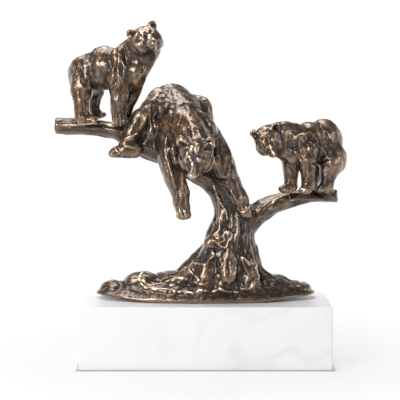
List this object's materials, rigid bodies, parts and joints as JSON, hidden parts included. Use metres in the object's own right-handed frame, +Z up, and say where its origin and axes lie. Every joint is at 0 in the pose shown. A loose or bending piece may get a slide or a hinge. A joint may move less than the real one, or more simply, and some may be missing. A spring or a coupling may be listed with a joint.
{
  "type": "bronze figure group on a stone block",
  "caption": "Bronze bears in a leaning tree over an oval mound, on a white marble block.",
  "frame": {"origin": "centre of the marble block's underside", "axes": "+X to the right of the work seen from its front, +Z up, +Y away from the front"},
  "size_m": [0.2369, 0.1042, 0.2753],
  "materials": {
    "bronze": "brown patina rubbed through to gold on the ridges",
    "marble": "polished"
  },
  "bodies": {
    "root": {"bronze_bears": "bronze", "marble_plinth": "marble"}
  },
  "joints": []
}
